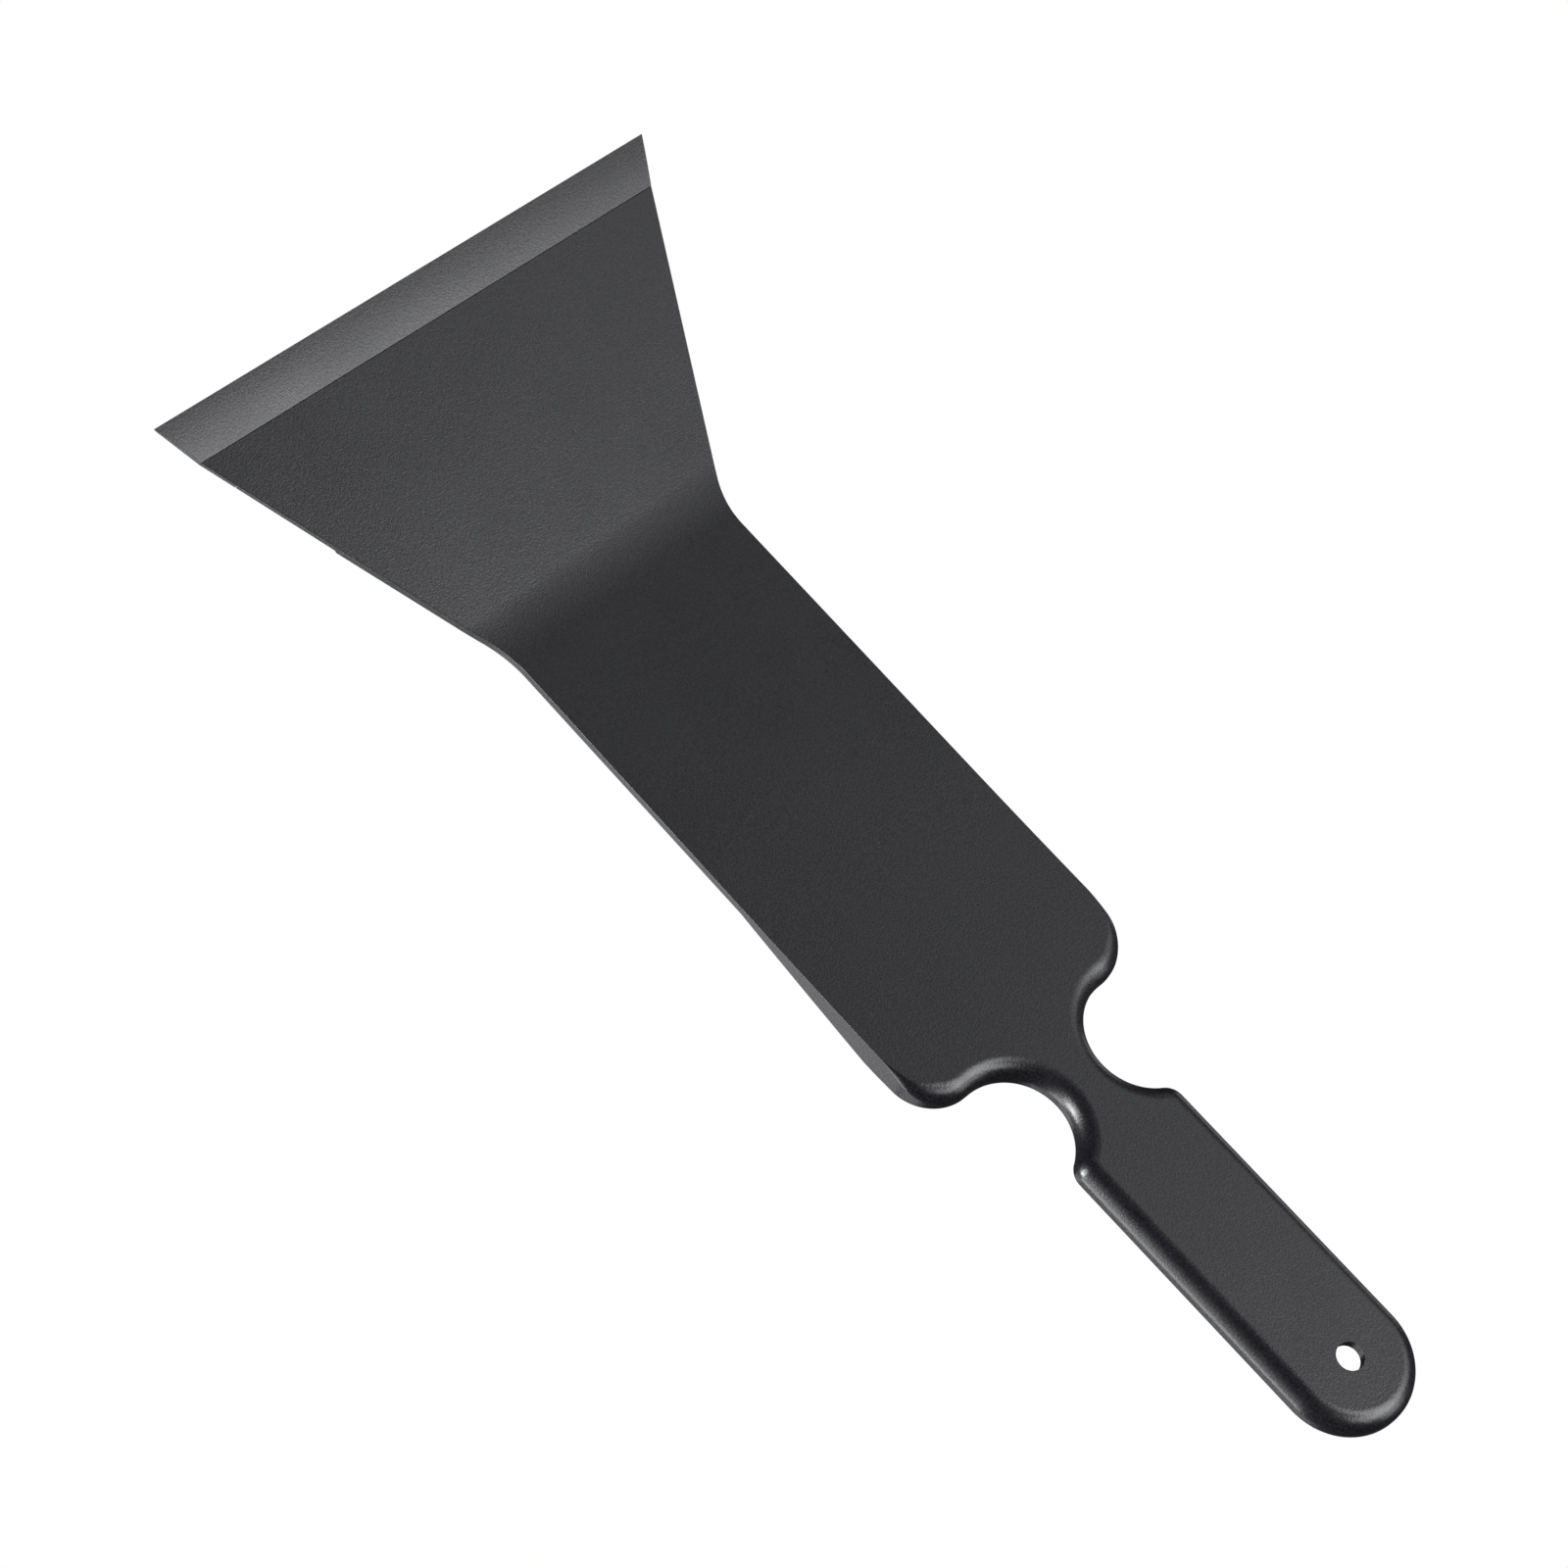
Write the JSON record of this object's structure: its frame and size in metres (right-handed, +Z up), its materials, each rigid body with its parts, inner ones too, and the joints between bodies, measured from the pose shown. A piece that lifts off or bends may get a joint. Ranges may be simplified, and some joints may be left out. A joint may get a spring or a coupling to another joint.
{
  "type": "window tint squeegee",
  "caption": "Long hard-plastic squeegee for window film: flared bent-up head with a thin front blade, flat palm shaft, finger notches and a hanging hole in the handle.",
  "frame": {"origin": "on the surface that the tool stands on, under the middle of its length and width", "axes": "+Y along the tool towards the head, +Z up out of the level top of the handle, +X across the head"},
  "size_m": [0.14, 0.32, 0.0339],
  "materials": {
    "body_plastic": "black, fine matte grain with a soft sheen on the rounded edges",
    "blade_plastic": "dark grey, matte"
  },
  "bodies": {
    "root": {"squeegee_body": "body_plastic", "blade_strip": "blade_plastic"}
  },
  "joints": []
}
